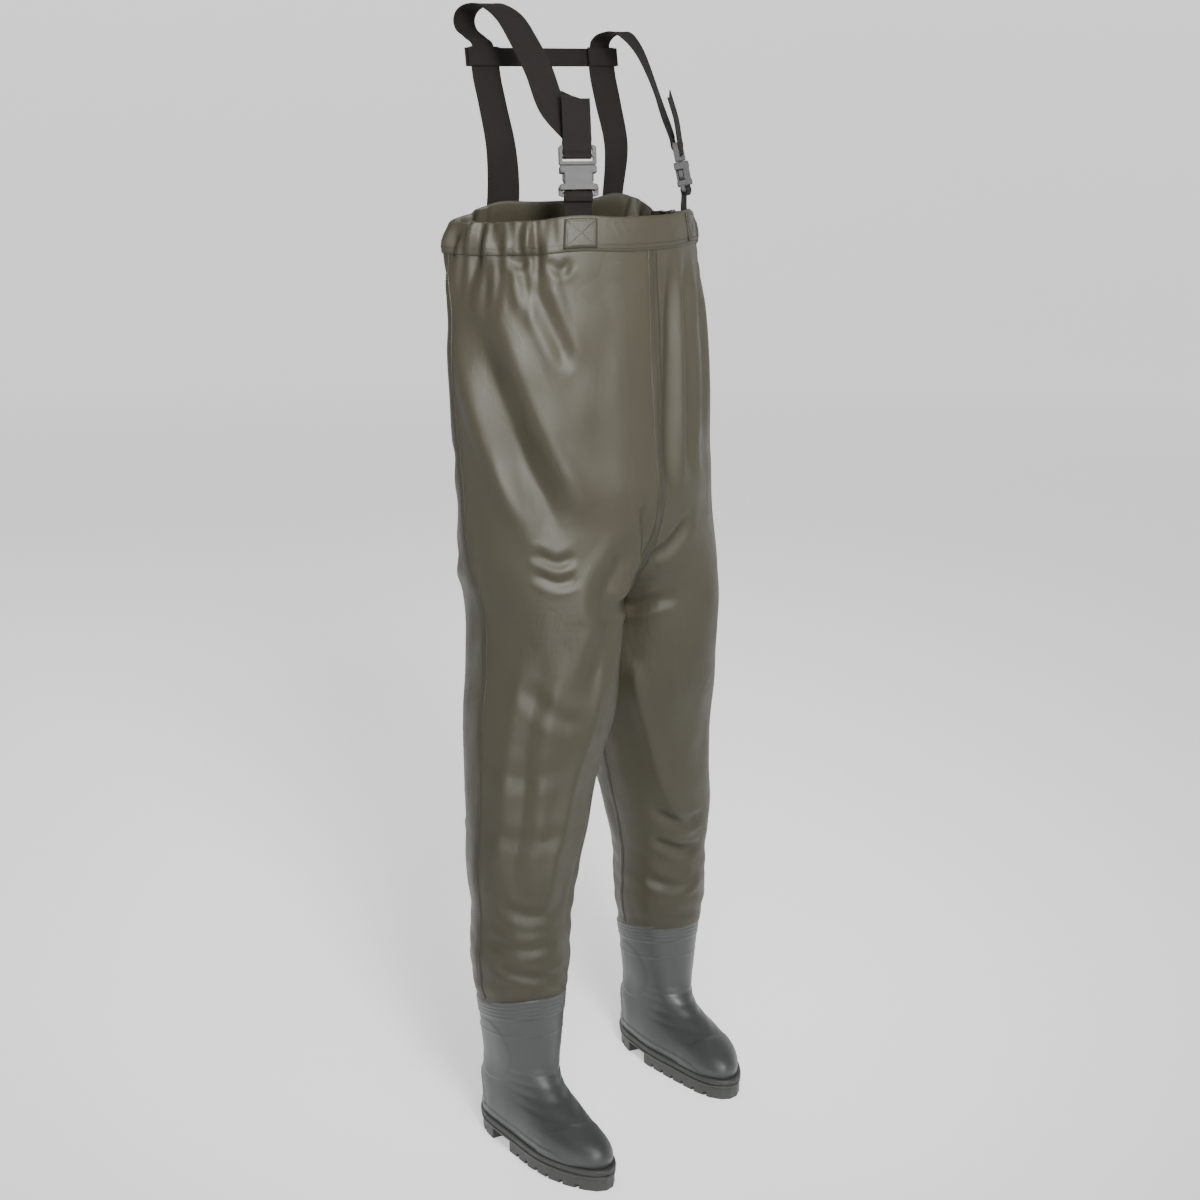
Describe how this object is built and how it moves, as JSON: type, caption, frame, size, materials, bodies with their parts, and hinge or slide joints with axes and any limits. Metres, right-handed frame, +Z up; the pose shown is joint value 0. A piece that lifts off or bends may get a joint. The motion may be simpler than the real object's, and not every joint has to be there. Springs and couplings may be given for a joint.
{
  "type": "chest waders",
  "caption": "Bib-top waterproof waders with moulded rubber boots, elastic hem and buckled webbing shoulder straps.",
  "frame": {"origin": "on the floor under the middle of the assembly's box", "axes": "+Z up; -Y the way the wearer faces; +X the wearer's left"},
  "size_m": [0.4918, 0.4098, 1.5586],
  "materials": {
    "coated_fabric": "PVC-coated nylon, satin",
    "seam_tape": "welded tape, satin",
    "webbing": "woven webbing, matte",
    "elastic": "braided elastic, matte",
    "buckle_plastic": "moulded acetal, satin",
    "boot_rubber": "moulded rubber, satin",
    "sole_rubber": "moulded rubber, matte",
    "footbed": "felt, matte"
  },
  "bodies": {
    "garment": {"anchor_webbing_left": "webbing", "anchor_webbing_right": "webbing", "back_strap_left": "webbing", "back_strap_right": "webbing", "boot_band_left": "boot_rubber", "boot_band_right": "boot_rubber", "boot_heel_left": "sole_rubber", "boot_heel_right": "sole_rubber", "boot_insole_left": "footbed", "boot_insole_right": "footbed", "boot_sole_left": "sole_rubber", "boot_sole_right": "sole_rubber", "boot_tread_left": "sole_rubber", "boot_tread_right": "sole_rubber", "boot_upper_left": "boot_rubber", "boot_upper_right": "boot_rubber", "buckle_socket_left": "buckle_plastic", "buckle_socket_right": "buckle_plastic", "crossbar": "webbing", "hem_casing": "coated_fabric", "hem_elastic_left": "elastic", "hem_elastic_right": "elastic", "panel_back_left": "coated_fabric", "panel_back_right": "coated_fabric", "panel_front_left": "coated_fabric", "panel_front_right": "coated_fabric", "patch_back_left": "coated_fabric", "patch_back_right": "coated_fabric", "patch_front_left": "coated_fabric", "patch_front_right": "coated_fabric", "seam_back": "seam_tape", "seam_front": "seam_tape", "seam_inner_left": "seam_tape", "seam_inner_right": "seam_tape", "seam_side_left": "seam_tape", "seam_side_right": "seam_tape", "shoulder_strap_left": "webbing", "shoulder_strap_right": "webbing"},
    "clip_right": {"buckle_clip_right": "buckle_plastic"},
    "prong_a_right": {"buckle_prong_a_right": "buckle_plastic"},
    "prong_b_right": {"buckle_prong_b_right": "buckle_plastic"},
    "clip_left": {"buckle_clip_left": "buckle_plastic"},
    "prong_a_left": {"buckle_prong_a_left": "buckle_plastic"},
    "prong_b_left": {"buckle_prong_b_left": "buckle_plastic"}
  },
  "joints": [
    {"name": "buckle_release_right", "type": "slide", "parent": "garment", "child": "clip_right", "axis": [0.1193, 0.1703, 0.9781], "range_m": [0, 0.03], "deforming": ["shoulder_strap_right"]},
    {"name": "prong_squeeze_a_right", "type": "hinge", "parent": "clip_right", "child": "prong_a_right", "pos_m": [-0.08877, -0.0004, 1.34836], "axis": [-0.561, -0.8013, 0.2079], "range_deg": [0, 6], "stiffness_Nm_per_rad": 0.08},
    {"name": "prong_squeeze_b_right", "type": "hinge", "parent": "clip_right", "child": "prong_b_right", "pos_m": [-0.06502, -0.01703, 1.34836], "axis": [0.561, 0.8013, -0.2079], "range_deg": [0, 6], "stiffness_Nm_per_rad": 0.08},
    {"name": "buckle_release_left", "type": "slide", "parent": "garment", "child": "clip_left", "axis": [-0.1193, 0.1703, 0.9781], "range_m": [0, 0.03], "deforming": ["shoulder_strap_left"]},
    {"name": "prong_squeeze_a_left", "type": "hinge", "parent": "clip_left", "child": "prong_a_left", "pos_m": [0.10534, -0.01703, 1.34836], "axis": [0.561, -0.8013, 0.2079], "range_deg": [0, 6], "stiffness_Nm_per_rad": 0.08},
    {"name": "prong_squeeze_b_left", "type": "hinge", "parent": "clip_left", "child": "prong_b_left", "pos_m": [0.1291, -0.0004, 1.34836], "axis": [-0.561, 0.8013, -0.2079], "range_deg": [0, 6], "stiffness_Nm_per_rad": 0.08}
  ]
}
